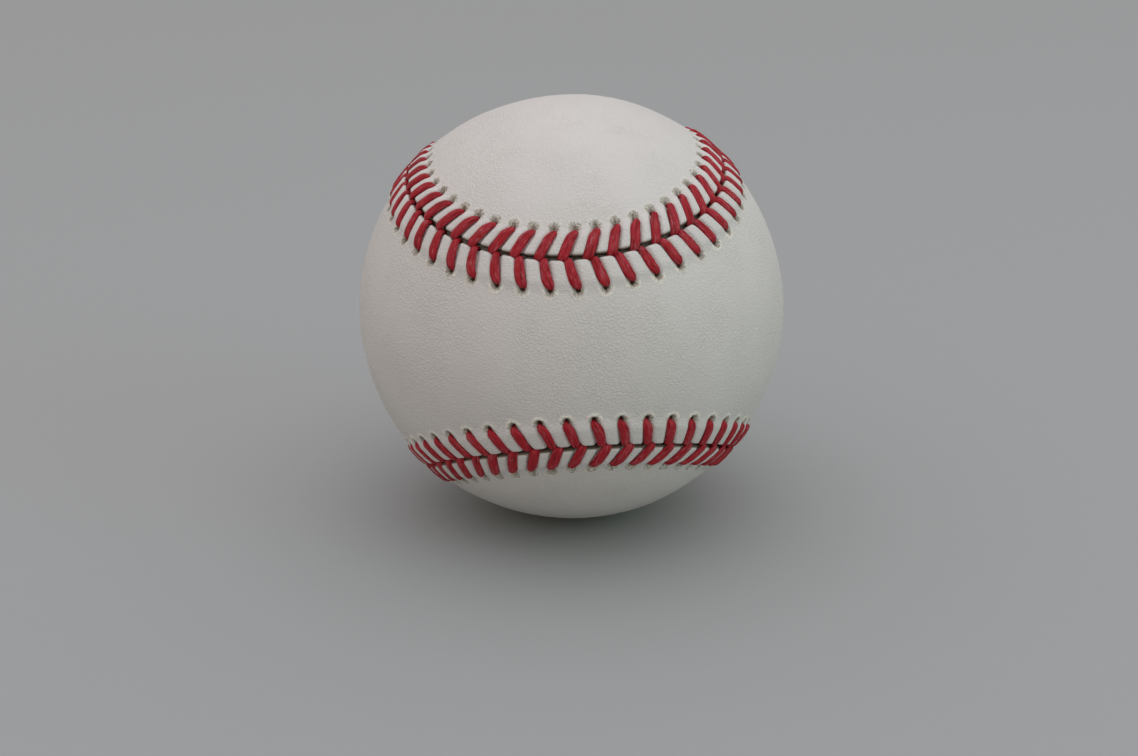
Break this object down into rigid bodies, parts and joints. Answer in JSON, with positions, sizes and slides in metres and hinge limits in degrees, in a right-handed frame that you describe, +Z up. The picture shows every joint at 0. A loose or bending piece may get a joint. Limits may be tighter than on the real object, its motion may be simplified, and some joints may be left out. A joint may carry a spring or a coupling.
{
  "type": "baseball",
  "caption": "Leather-covered ball sewn from two figure-of-eight panels with a raised double row of red stitches, wound over a cork and rubber core.",
  "frame": {"origin": "centre of the ball", "axes": "+Z up as the ball sits, -Y towards the viewer, +X to the viewer's right; the ball is round, so only the seam shows its turn"},
  "size_m": [0.074, 0.074, 0.074],
  "materials": {
    "cork": "moulded cork and rubber granules",
    "black_rubber": "moulded, dull",
    "red_rubber": "moulded, dull",
    "grey_wool": "wound wool yarn",
    "white_wool": "wound wool yarn",
    "cotton_yarn": "fine wound cotton yarn",
    "cover_leather": "white tanned leather with a fine pebbled grain, matt with a slight sheen",
    "red_thread": "waxed cotton thread, slight sheen"
  },
  "bodies": {
    "root": {"cork_core": "cork", "black_half_shell_upper": "black_rubber", "black_half_shell_lower": "black_rubber", "red_washer": "red_rubber", "red_rubber_layer": "red_rubber", "inner_grey_winding": "grey_wool", "white_winding": "white_wool", "outer_grey_winding": "grey_wool", "finishing_winding": "cotton_yarn", "cover_panel_first": "cover_leather", "cover_panel_second": "cover_leather", "thread_run_first": "red_thread", "thread_run_second": "red_thread"}
  },
  "joints": []
}
